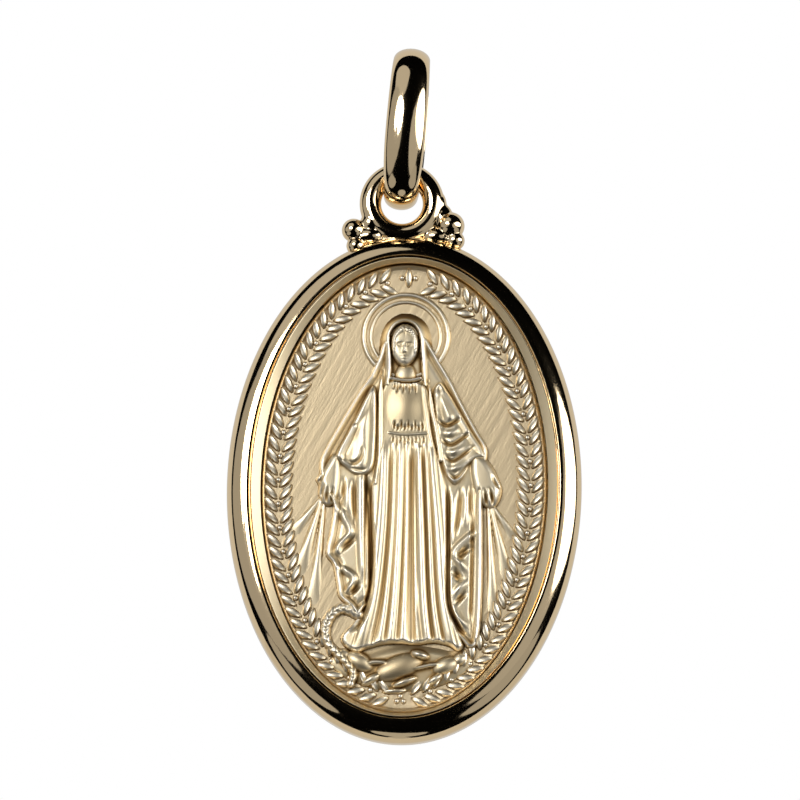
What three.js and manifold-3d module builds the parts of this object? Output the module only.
// Oval religious medal that hangs from a bail: a polished frame with an eye ring and granules,
// a struck plaque with a robed figure in relief, and a half-round bail that a chain passes through.
// Millimetres, +Z up. The front faces -Y. The origin is where the chain bears, at the top of the
// bail's inside, so everything hangs below it.
import * as THREE from 'three';
import { mergeVertices } from 'three/addons/utils/BufferGeometryUtils.js';
import Module from 'manifold-3d';

const wasm = await Module();
wasm.setup();

// Medal
const MEDAL_WIDTH = 17.0;
const MEDAL_HEIGHT = 24.7;
const OVAL_STEPS = 72;

// Frame, measured across its section from the outer edge inwards. The bevel is wider at the two
// sides than at the top and bottom.
const RIM_BAND = 1.08;
const RIM_FRONT = 1.0;
const RIM_BACK = 0.8;
const DOME_STEPS = 6;
const BACK_CORNER = 0.3;
const GROOVE_WIDTH = 0.12;
const GROOVE_FRONT = 0.79;
const BEVEL_SIDE_WIDTH = 0.42;
const BEVEL_END_WIDTH = 0.17;
const BEVEL_FRONT = 0.89;
const BEVEL_FOOT_FRONT = 0.62;
const LEDGE_WIDTH = 0.45;
const LEDGE_THICK = 0.4;

// Eye ring and granules, soldered to the top of the rim
const EYE_WIRE = 1.05;
const EYE_HOLE = 2.01;
const EYE_SUNK = 0.38;
const EYE_OFFSET = -0.4;
const EYE_STEPS = 30;
const WIRE_STEPS = 10;
const GRANULE_RADIUS = 0.58;
const SMALL_GRANULE_RADIUS = 0.37;
const GRANULE_BITE = 0.12;

// Bail, a half-round strip bent into a long loop
const BAIL_WIDTH = 1.95;
const BAIL_TOP_WIDTH = 1.75;
const BAIL_THICK = 0.75;
const BAIL_HEIGHT = 8.0;
const BAIL_TOP_DEPTH = 4.4;
const BAIL_SIDE_RADIUS = 9.0;
const BAIL_EDGE = 0.2;
const BAIL_LEAN = THREE.MathUtils.degToRad(3.5);
const BAIL_SIDE_PLAY = 0.22;
const BAIL_PLAY = 0.14;

// Plaque
const PLAQUE_GAP = 0.06;
const GROUND_FRONT = 0.28;
const RELIEF_HEIGHT = 0.62;
const DRAWING_INSET = 0.1;
const DRAWING_DROP = 0.15;
const GRID_CELL = 0.25;
const GRID_WIDTH_SHARE = 0.78;
const GRID_HEIGHT_SHARE = 0.93;
const FOOT_SLOPE = 2;
const LINE_INSET = 0.16;
const LINE_WIDTH = 0.2;
const LINE_HEIGHT = 0.1;
const LEAF_ROWS = 31;
const LEAF_LENGTH = 0.86;
const LEAF_WIDTH = 0.44;
const LEAF_HEIGHT = 0.17;
const LEAF_APART = 0.27;
const LEAF_SPREAD = THREE.MathUtils.degToRad(27);
const GARLAND_INSET = 0.76;
const GARLAND_START = 1.5;

// Places that follow from the sizes
const bevelStart = RIM_BAND + GROOVE_WIDTH;
const plaqueHalfWidth = MEDAL_WIDTH / 2 - bevelStart - BEVEL_SIDE_WIDTH - PLAQUE_GAP;
const plaqueHalfHeight = MEDAL_HEIGHT / 2 - bevelStart - BEVEL_END_WIDTH - PLAQUE_GAP;
const drawingHalfWidth = plaqueHalfWidth;
const drawingHalfHeight = plaqueHalfHeight - DRAWING_INSET;
const ledgeFront = RIM_BACK - LEDGE_THICK;
const plaqueBack = ledgeFront - PLAQUE_GAP;
const eyeRadius = (EYE_HOLE + EYE_WIRE) / 2;
const eyeOuter = eyeRadius + EYE_WIRE / 2;
const eyeAboveCentre = MEDAL_HEIGHT / 2 - EYE_SUNK + eyeOuter;
const bailBottomWidth = EYE_HOLE - 2 * BAIL_SIDE_PLAY;
const chordRise = EYE_HOLE / 2 - Math.sqrt((EYE_HOLE / 2) ** 2 - (bailBottomWidth / 2) ** 2);
const bendRadius = EYE_WIRE / 2 + chordRise + BAIL_PLAY + BAIL_THICK / 2;
const topRadius = BAIL_TOP_DEPTH / 2 - BAIL_THICK / 2;
const topCentre = BAIL_HEIGHT - BAIL_THICK - bendRadius - topRadius;
const seatAboveHinge = topCentre + topRadius - BAIL_THICK / 2;
const hinge = new THREE.Vector3(
  -seatAboveHinge * Math.sin(BAIL_LEAN),
  0,
  -seatAboveHinge * Math.cos(BAIL_LEAN),
);
const medalCentre = new THREE.Vector3(
  hinge.x - EYE_OFFSET,
  0,
  hinge.z - eyeRadius - eyeAboveCentre,
);

// Materials
const POLISHED_GOLD = new THREE.MeshStandardMaterial({ color: '#d9bf7c', roughness: 0.12, metalness: 1 });
const SATIN_GOLD = new THREE.MeshStandardMaterial({ color: '#cfb98d', roughness: 0.42, metalness: 1 });

// Relief. Places are shares of the drawing's half-width and half-height from its middle, left and
// down negative. The drawing ends a little inside the plaque's top and bottom, and its middle is a
// little below the plaque's. Heights are shares of the relief's height, and edges, widths and
// tallness shares of the drawing's half-width.
// A sheet is a smooth outline filled to a height, with a rounded edge. Its crown is how much
// higher the middle stands than the sides.
const SHEETS = [
  {
    name: 'globe', high: 0.16, crown: 0.26, edge: 0.074,
    outline: [
      [-0.46, -0.78], [-0.3, -0.72], [0, -0.69], [0.3, -0.72], [0.45, -0.78],
      [0.3, -0.875], [0, -0.905], [-0.3, -0.875],
    ],
  },
  {
    name: 'cloak', high: 0.39, crown: 0.16, edge: 0.044,
    outline: [
      [-0.01, 0.8], [-0.12, 0.765], [-0.165, 0.69], [-0.19, 0.59], [-0.23, 0.51], [-0.31, 0.44],
      [-0.42, 0.28], [-0.55, 0.12], [-0.58, 0.05], [-0.5, -0.08], [-0.53, -0.26], [-0.47, -0.36],
      [-0.44, -0.5], [-0.33, -0.57], [-0.2, -0.6], [0.2, -0.66], [0.42, -0.7], [0.5, -0.66],
      [0.53, -0.3], [0.55, -0.1], [0.53, 0.06], [0.54, 0.15], [0.42, 0.28], [0.29, 0.43],
      [0.21, 0.52], [0.17, 0.62], [0.16, 0.7], [0.1, 0.77],
    ],
  },
  {
    name: 'robe', high: 0.48, crown: 0.23, edge: 0.035,
    outline: [
      [-0.17, 0.46], [-0.22, 0.2], [-0.245, -0.1], [-0.25, -0.42], [-0.33, -0.59], [-0.41, -0.67],
      [-0.37, -0.72], [-0.3, -0.735], [-0.2, -0.7], [-0.09, -0.71], [0.02, -0.685], [0.2, -0.68],
      [0.33, -0.71], [0.39, -0.7], [0.34, -0.58], [0.29, -0.42], [0.27, -0.1], [0.2, 0.2],
      [0.13, 0.46],
    ],
  },
  {
    name: 'left sleeve', high: 0.71, crown: 0.16, edge: 0.05,
    outline: [
      [-0.2, 0.44], [-0.29, 0.42], [-0.38, 0.29], [-0.46, 0.13], [-0.38, 0.085], [-0.3, 0.065],
      [-0.235, 0.085], [-0.195, 0.18],
    ],
  },
  {
    name: 'right sleeve', high: 0.71, crown: 0.16, edge: 0.05,
    outline: [
      [0.17, 0.44], [0.27, 0.42], [0.37, 0.3], [0.5, 0.16], [0.42, 0.08], [0.35, 0.025],
      [0.29, 0.06], [0.22, 0.2],
    ],
  },
  {
    name: 'veil', high: 0.58, crown: 0.13, edge: 0.038,
    outline: [
      [-0.01, 0.795], [-0.12, 0.76], [-0.16, 0.68], [-0.17, 0.57], [-0.16, 0.46], [-0.09, 0.45],
      [0.08, 0.45], [0.14, 0.47], [0.155, 0.57], [0.155, 0.68], [0.1, 0.765],
    ],
  },
];

// A fold is a smooth ridge along a path, or a groove where its height is negative
const FOLDS = [
  { wide: 0.047, high: 0.16, path: [[-0.165, 0.4], [-0.165, -0.1], [-0.17, -0.4], [-0.27, -0.66]] },
  { wide: 0.032, high: 0.13, path: [[-0.07, 0.2], [-0.075, -0.3], [-0.13, -0.67]] },
  { wide: 0.029, high: 0.13, path: [[0.0, 0.2], [-0.005, -0.3], [-0.03, -0.66]] },
  { wide: 0.035, high: -0.19, path: [[0.065, 0.2], [0.065, -0.3], [0.05, -0.66]] },
  { wide: 0.029, high: 0.11, path: [[0.105, 0.2], [0.11, -0.3], [0.12, -0.66]] },
  { wide: 0.029, high: -0.13, path: [[0.15, 0.15], [0.165, -0.3], [0.2, -0.66]] },
  { wide: 0.044, high: 0.16, path: [[0.2, 0.1], [0.23, -0.3], [0.3, -0.67]] },
  { wide: 0.032, high: -0.23, path: [[-0.25, 0.03], [-0.255, -0.4], [-0.33, -0.57]] },
  { wide: 0.035, high: -0.19, path: [[0.285, 0.0], [0.295, -0.4], [0.36, -0.6]] },
  { wide: 0.044, high: 0.19, path: [[-0.46, -0.06], [-0.49, -0.28], [-0.39, -0.36], [-0.37, -0.44]] },
  { wide: 0.035, high: -0.16, path: [[-0.42, -0.2], [-0.48, -0.27]] },
  { wide: 0.038, high: 0.16, path: [[-0.33, -0.1], [-0.34, -0.35], [-0.31, -0.5]] },
  { wide: 0.044, high: 0.19, path: [[0.5, -0.08], [0.51, -0.4], [0.49, -0.64]] },
  { wide: 0.038, high: -0.16, path: [[0.52, -0.21], [0.36, -0.3], [0.45, -0.43], [0.35, -0.5]] },
  { wide: 0.035, high: -0.16, path: [[0.33, -0.54], [0.45, -0.63]] },
  { wide: 0.044, high: 0.19, path: [[-0.32, 0.4], [-0.42, 0.2], [-0.36, 0.1], [-0.25, 0.12], [-0.22, 0.35]] },
  { wide: 0.038, high: -0.16, path: [[-0.37, 0.15], [-0.3, 0.22]] },
  { wide: 0.038, high: 0.19, path: [[0.26, 0.15], [0.35, 0.06], [0.47, 0.16]] },
  { wide: 0.035, high: -0.16, path: [[0.23, 0.3], [0.29, 0.28], [0.37, 0.32]] },
  { wide: 0.035, high: -0.16, path: [[0.27, 0.21], [0.33, 0.165], [0.42, 0.22]] },
  { wide: 0.024, high: 0.16, path: [[-0.1, 0.24], [0.14, 0.235]] },
  { wide: 0.029, high: -0.19, path: [[-0.2, 0.46], [-0.195, 0.15]] },
  { wide: 0.029, high: -0.19, path: [[0.17, 0.46], [0.19, 0.15]] },
];

// A cord is a round ridge that stands on the ground by itself
const CORDS = [
  { wide: 0.015, high: 0.19, path: circleShares(0.3, -0.015, 0.693) },
  { wide: 0.032, high: 0.19, path: [[-0.57, -0.08], [-0.72, -0.3]] },
  { wide: 0.038, high: 0.23, path: [[-0.56, -0.1], [-0.69, -0.42]] },
  { wide: 0.05, high: 0.23, path: [[-0.54, -0.1], [-0.6, -0.56]] },
  { wide: 0.032, high: 0.19, path: [[0.6, -0.1], [0.72, -0.3]] },
  { wide: 0.038, high: 0.23, path: [[0.59, -0.1], [0.67, -0.46]] },
  { wide: 0.035, high: 0.19, path: [[0.57, -0.1], [0.59, -0.6]] },
  {
    wide: 0.062, high: 0.48,
    path: [[-0.41, -0.57], [-0.52, -0.6], [-0.55, -0.66], [-0.47, -0.74], [-0.36, -0.8], [-0.33, -0.87]],
  },
  { wide: 0.044, high: 0.39, path: [[-0.3, -0.79], [-0.05, -0.76], [0.2, -0.77], [0.4, -0.745]] },
];

// A dome is half an egg, on a foot that lifts its rim above the ground
const DOMES = [
  { name: 'halo disc', across: -0.015, up: 0.693, wide: 0.294, tall: 0.294, foot: 0.06, high: 0.02 },
  { name: 'neck', across: -0.01, up: 0.52, wide: 0.062, tall: 0.118, foot: 0.48, high: 0.16 },
  { name: 'head', across: -0.005, up: 0.65, wide: 0.097, tall: 0.165, foot: 0.48, high: 0.45 },
  { name: 'left hand', across: -0.53, up: 0.02, wide: 0.076, tall: 0.126, foot: 0.32, high: 0.45 },
  { name: 'right hand', across: 0.56, up: 0.01, wide: 0.091, tall: 0.132, foot: 0.32, high: 0.45 },
];

// Points evenly round a circle whose radius is a share of the drawing's half-width
function circleShares(radius, across, up) {
  const steps = 12;
  const points = [];
  for (let step = 0; step <= steps; step += 1) {
    const angle = (step / steps) * 2 * Math.PI;
    const rise = (radius * drawingHalfWidth) / drawingHalfHeight;
    points.push([across + radius * Math.cos(angle), up + rise * Math.sin(angle)]);
  }
  return points;
}

function placed([across, up]) {
  return new THREE.Vector3(across * drawingHalfWidth, 0, up * drawingHalfHeight - DRAWING_DROP);
}

// Short straight stretches along a smooth path through the given places
function stretches(path, closed) {
  const points = path.map(placed);
  const count = points.length * 4;
  const smooth = new THREE.CatmullRomCurve3(points, closed, 'centripetal').getPoints(count);
  return smooth.slice(1).map((end, index) => new THREE.Line3(smooth[index], end));
}

function distanceTo(lines, point) {
  const nearest = new THREE.Vector3();
  let best = Infinity;
  for (const line of lines) {
    line.closestPointToPoint(point, true, nearest);
    best = Math.min(best, nearest.distanceTo(point));
  }
  return best;
}

function isInside(lines, point) {
  let inside = false;
  for (const { start, end } of lines) {
    const straddles = start.z > point.z !== end.z > point.z;
    const share = (point.z - start.z) / (end.z - start.z);
    if (straddles && point.x < start.x + share * (end.x - start.x)) inside = !inside;
  }
  return inside;
}

// Quarter-round from 0 at the edge to 1 at the given share and past it
function rounded(share) {
  const reach = THREE.MathUtils.clamp(share, 0, 1);
  return Math.sqrt(1 - (1 - reach) ** 2);
}

const sheets = SHEETS.map((sheet) => {
  const lines = stretches(sheet.outline, true);
  const sides = lines.map((line) => line.start.x);
  const middle = (Math.min(...sides) + Math.max(...sides)) / 2;
  const half = (Math.max(...sides) - Math.min(...sides)) / 2;
  return { ...sheet, lines, middle, half };
});
const folds = FOLDS.map((fold) => ({ ...fold, lines: stretches(fold.path, false) }));
const cords = CORDS.map((cord) => ({ ...cord, lines: stretches(cord.path, false) }));

// Outside a form the height goes on below the ground, so that its foot is a smooth line
function below(distance) {
  return -Math.min(distance * FOOT_SLOPE, GROUND_FRONT / 2);
}

function sheetHeight(sheet, point) {
  const distance = distanceTo(sheet.lines, point);
  if (!isInside(sheet.lines, point)) return below(distance);
  const off = (point.x - sheet.middle) / sheet.half;
  const level = sheet.high + sheet.crown * Math.max(0, 1 - off ** 2);
  return RELIEF_HEIGHT * level * rounded(distance / (sheet.edge * drawingHalfWidth));
}

function foldHeight(fold, point) {
  const reach = distanceTo(fold.lines, point) / (fold.wide * drawingHalfWidth);
  return reach < 1 ? RELIEF_HEIGHT * fold.high * (1 - reach ** 2) ** 2 : 0;
}

function cordHeight(cord, point) {
  const half = cord.wide * drawingHalfWidth;
  const inside = half - distanceTo(cord.lines, point);
  return inside < 0 ? below(-inside) : RELIEF_HEIGHT * cord.high * rounded(inside / half);
}

function domeHeight(dome, point) {
  const { x, z } = placed([dome.across, dome.up]);
  const wide = dome.wide * drawingHalfWidth;
  const tall = dome.tall * drawingHalfWidth;
  const reach = Math.hypot((point.x - x) / wide, (point.z - z) / tall);
  if (reach > 1) return below((reach - 1) * wide);
  return RELIEF_HEIGHT * (dome.foot + dome.high * Math.sqrt(1 - reach ** 2));
}

function highest(forms, heightOf, point) {
  return Math.max(...forms.map((form) => heightOf(form, point)));
}

// Height of the relief above the ground at a point of the plaque
function reliefHeight(point) {
  let cloth = highest(sheets, sheetHeight, point);
  if (cloth > 0) {
    for (const fold of folds) cloth += foldHeight(fold, point);
  }
  return Math.max(cloth, highest(cords, cordHeight, point), highest(DOMES, domeHeight, point));
}

function solid(geometry) {
  const plain = geometry.clone();
  plain.deleteAttribute('normal');
  plain.deleteAttribute('uv');
  const merged = mergeVertices(plain, 1e-5);
  return new wasm.Manifold(new wasm.Mesh({
    numProp: 3,
    vertProperties: new Float32Array(merged.attributes.position.array),
    triVerts: new Uint32Array(merged.index.array),
  }));
}

function geometryOf(body) {
  const { vertProperties, triVerts } = body.getMesh();
  const geometry = new THREE.BufferGeometry();
  geometry.setAttribute('position', new THREE.BufferAttribute(vertProperties, 3));
  geometry.setIndex(new THREE.BufferAttribute(triVerts, 1));
  geometry.computeVertexNormals();
  return geometry;
}

// One closed skin over a row of rings: each ring closes on itself, and the last meets the first
function skin(rings) {
  const sides = rings[0].length;
  const faces = [];
  for (let row = 0; row < rings.length; row += 1) {
    const near = row * sides;
    const far = ((row + 1) % rings.length) * sides;
    for (let side = 0; side < sides; side += 1) {
      const next = (side + 1) % sides;
      faces.push(near + side, far + side, far + next);
      faces.push(near + side, far + next, near + next);
    }
  }
  const geometry = new THREE.BufferGeometry().setFromPoints(rings.flat());
  geometry.setIndex(faces);
  return geometry;
}

// Rings of a section that runs round an oval. A section row is how far in from the oval, and y.
function ovalRings(halfWidth, halfHeight, section) {
  const rings = [];
  for (let step = 0; step < OVAL_STEPS; step += 1) {
    const angle = (step / OVAL_STEPS) * 2 * Math.PI;
    const inward = new THREE.Vector2(-halfHeight * Math.cos(angle), -halfWidth * Math.sin(angle)).normalize();
    rings.push(section.map(([inset, y]) => new THREE.Vector3(
      halfWidth * Math.cos(angle) + inward.x * inset,
      y,
      halfHeight * Math.sin(angle) + inward.y * inset,
    )));
  }
  return rings;
}

// Outer part of the frame's section: back corner, domed band, and groove up to the bevel
function rimSection() {
  const cornerBend = BACK_CORNER * (1 - Math.SQRT1_2);
  const dome = [];
  for (let step = 0; step <= DOME_STEPS; step += 1) {
    const turn = ((step / DOME_STEPS) * Math.PI) / 2;
    dome.push([RIM_BAND * (1 - Math.cos(turn)), -RIM_FRONT * Math.sin(turn)]);
  }
  return [
    [BACK_CORNER, RIM_BACK],
    [cornerBend, RIM_BACK - cornerBend],
    [0, RIM_BACK - BACK_CORNER],
    ...dome,
    [RIM_BAND + GROOVE_WIDTH / 2, -GROOVE_FRONT],
    [bevelStart, -BEVEL_FRONT],
  ];
}

// Inner part, measured from the plaque's edge: foot of the bevel, and the ledge under the plaque
function ledgeSection() {
  return [
    [-PLAQUE_GAP, -BEVEL_FOOT_FRONT],
    [-PLAQUE_GAP, ledgeFront],
    [LEDGE_WIDTH - PLAQUE_GAP, ledgeFront],
    [LEDGE_WIDTH - PLAQUE_GAP, RIM_BACK],
  ];
}

function granule(across, up, radius) {
  const ball = new THREE.SphereGeometry(radius, 10, 7);
  ball.translate(across, 0, up);
  return solid(ball);
}

// Three granules beside the eye ring: a small one in the corner between ring and rim, a small one
// farther out on the rim, and the large one on top of that
function granules(side) {
  const inner = EYE_OFFSET + side * (eyeOuter - GRANULE_BITE);
  const outer = EYE_OFFSET + side * (eyeOuter + SMALL_GRANULE_RADIUS);
  const rimTop = (across) => (MEDAL_HEIGHT / 2) * Math.sqrt(1 - (across / (MEDAL_WIDTH / 2)) ** 2);
  const outerUp = rimTop(outer) + SMALL_GRANULE_RADIUS - GRANULE_BITE;
  return [
    granule(inner, rimTop(inner) + SMALL_GRANULE_RADIUS - GRANULE_BITE, SMALL_GRANULE_RADIUS),
    granule(outer, outerUp, SMALL_GRANULE_RADIUS),
    granule(outer, outerUp + SMALL_GRANULE_RADIUS + GRANULE_RADIUS - GRANULE_BITE * 3, GRANULE_RADIUS),
  ];
}

// Rim, eye ring and granules, soldered into one
function frameGeometry() {
  const outer = ovalRings(MEDAL_WIDTH / 2, MEDAL_HEIGHT / 2, rimSection());
  const inner = ovalRings(plaqueHalfWidth, plaqueHalfHeight, ledgeSection());
  const rim = solid(skin(outer.map((ring, step) => [...ring, ...inner[step]])));
  const eye = new THREE.TorusGeometry(eyeRadius, EYE_WIRE / 2, WIRE_STEPS, EYE_STEPS);
  eye.rotateX(Math.PI / 2);
  eye.translate(EYE_OFFSET, 0, eyeAboveCentre);
  return geometryOf(wasm.Manifold.union([rim, solid(eye), ...granules(-1), ...granules(1)]));
}

// Oval block as large as the plaque, from its back to the given front
function ovalBlock(front) {
  const outline = new THREE.Shape();
  outline.absellipse(0, 0, plaqueHalfWidth, plaqueHalfHeight, 0, 2 * Math.PI);
  const block = new THREE.ExtrudeGeometry(outline, {
    depth: plaqueBack - front, bevelEnabled: false, curveSegments: OVAL_STEPS / 2,
  });
  block.rotateX(Math.PI / 2);
  block.translate(0, plaqueBack, 0);
  return solid(block);
}

// A plate whose front face is raised into the relief. Its other faces, and the front where there
// is no relief, lie inside the oval block.
function reliefPlate() {
  const width = GRID_WIDTH_SHARE * 2 * plaqueHalfWidth;
  const height = GRID_HEIGHT_SHARE * 2 * plaqueHalfHeight;
  const thick = GROUND_FRONT + plaqueBack / 2;
  const columns = Math.round(width / GRID_CELL);
  const rows = Math.round(height / GRID_CELL);
  const plate = new THREE.BoxGeometry(width, thick, height, columns, 1, rows);
  plate.translate(0, thick / 2 - GROUND_FRONT, 0);
  const places = plate.attributes.position;
  const point = new THREE.Vector3();
  for (let index = 0; index < places.count; index += 1) {
    point.fromBufferAttribute(places, index);
    if (point.y < 0) places.setY(index, point.y - reliefHeight(point.setY(0)));
  }
  return solid(plate);
}

// Thin raised line round the plaque
function edgeLine() {
  const section = [
    [LINE_INSET, LINE_HEIGHT / 2 - GROUND_FRONT],
    [LINE_INSET + LINE_WIDTH * 0.3, -GROUND_FRONT - LINE_HEIGHT],
    [LINE_INSET + LINE_WIDTH * 0.7, -GROUND_FRONT - LINE_HEIGHT],
    [LINE_INSET + LINE_WIDTH, LINE_HEIGHT / 2 - GROUND_FRONT],
  ];
  return solid(skin(ovalRings(plaqueHalfWidth, plaqueHalfHeight, section)));
}

// One leaf of the garland: a stretched octahedron half sunk in the ground
function leaf(across, up, turn) {
  const shape = new THREE.OctahedronGeometry(1);
  shape.scale(LEAF_LENGTH / 2, LEAF_HEIGHT, LEAF_WIDTH / 2);
  shape.rotateY(-turn);
  shape.translate(across, -GROUND_FRONT, up);
  return solid(shape);
}

// Two garlands of paired leaves that run up from the foot of the plaque and meet at its top
function garland() {
  const halfWidth = plaqueHalfWidth - GARLAND_INSET;
  const halfHeight = plaqueHalfHeight - GARLAND_INSET;
  const path = new THREE.EllipseCurve(0, 0, halfWidth, halfHeight, -Math.PI / 2, Math.PI / 2, false, 0);
  const length = path.getLength();
  const leaves = [];
  for (let row = 0; row < LEAF_ROWS; row += 1) {
    const along = GARLAND_START + ((length - GARLAND_START) * (row + 0.5)) / LEAF_ROWS;
    const place = path.getPointAt(along / length);
    const run = path.getTangentAt(along / length);
    const heading = Math.atan2(run.y, run.x);
    for (const edge of [-1, 1]) {
      const turn = heading + edge * LEAF_SPREAD;
      const reach = edge * LEAF_APART;
      const x = place.x - run.y * reach;
      const z = place.y + run.x * reach;
      leaves.push(leaf(x, z, turn), leaf(-x, z, Math.PI - turn));
    }
  }
  return leaves;
}

function plaqueGeometry() {
  const relief = reliefPlate().intersect(ovalBlock(-RIM_FRONT));
  return geometryOf(wasm.Manifold.union([ovalBlock(-GROUND_FRONT), relief, edgeLine(), ...garland()]));
}

// Loop of the bail in its own plane, hinge at the centre of the lower bend: points evenly along
// each arc, with the direction that faces out
function bailPath() {
  const outerReach = BAIL_SIDE_RADIUS - topRadius;
  const lowerReach = BAIL_SIDE_RADIUS - bendRadius;
  const rise = (topCentre ** 2 + lowerReach ** 2 - outerReach ** 2) / (2 * topCentre);
  const centreBack = Math.sqrt(lowerReach ** 2 - rise ** 2);
  const lowAngle = Math.atan2(-rise, centreBack);
  const highAngle = Math.atan2(topCentre - rise, centreBack);
  const arcs = [
    { y: 0, z: 0, radius: bendRadius, from: -Math.PI - lowAngle, to: lowAngle, steps: 13 },
    { y: -centreBack, z: rise, radius: BAIL_SIDE_RADIUS, from: lowAngle, to: highAngle, steps: 6 },
    { y: 0, z: topCentre, radius: topRadius, from: highAngle, to: Math.PI - highAngle, steps: 14 },
    {
      y: centreBack, z: rise, radius: BAIL_SIDE_RADIUS,
      from: Math.PI - highAngle, to: Math.PI - lowAngle, steps: 6,
    },
  ];
  const stations = [];
  for (const arc of arcs) {
    for (let step = 0; step < arc.steps; step += 1) {
      const angle = arc.from + ((arc.to - arc.from) * step) / arc.steps;
      const out = new THREE.Vector3(0, Math.cos(angle), Math.sin(angle));
      const point = out.clone().multiplyScalar(arc.radius).add(new THREE.Vector3(0, arc.y, arc.z));
      stations.push({ point, out });
    }
  }
  return stations;
}

// The strip is widest above the lower bend, and narrows to the eye ring and to the chain
function bailWidthAt(z) {
  const widest = bendRadius;
  const span = z < widest ? widest + bendRadius : topCentre + topRadius - widest;
  const end = z < widest ? bailBottomWidth : BAIL_TOP_WIDTH;
  const off = THREE.MathUtils.clamp((z - widest) / span, -1, 1);
  return BAIL_WIDTH + (end - BAIL_WIDTH) * off ** 2;
}

function bailGeometry() {
  const dome = [[-1, -0.25], [-0.8, 0.12], [-0.42, 0.42], [0, 0.5], [0.42, 0.42], [0.8, 0.12], [1, -0.25]];
  const rings = bailPath().map(({ point, out }) => {
    const width = bailWidthAt(point.z);
    const flat = 1 - BAIL_EDGE / width;
    const section = [[-flat, -0.5], ...dome, [flat, -0.5]];
    return section.map(([side, lift]) => point.clone()
      .addScaledVector(out, lift * BAIL_THICK)
      .setX((side * width) / 2));
  });
  return geometryOf(solid(skin(rings)));
}

function named(name, geometry, material, place) {
  const mesh = new THREE.Mesh(geometry, material);
  mesh.name = name;
  mesh.position.copy(place);
  return mesh;
}

const bail = named('bail', bailGeometry(), POLISHED_GOLD, hinge);
bail.rotation.y = BAIL_LEAN;

const pendant = new THREE.Group();
pendant.add(
  bail,
  named('frame', frameGeometry(), POLISHED_GOLD, medalCentre),
  named('plaque', plaqueGeometry(), SATIN_GOLD, medalCentre),
);

export default pendant;
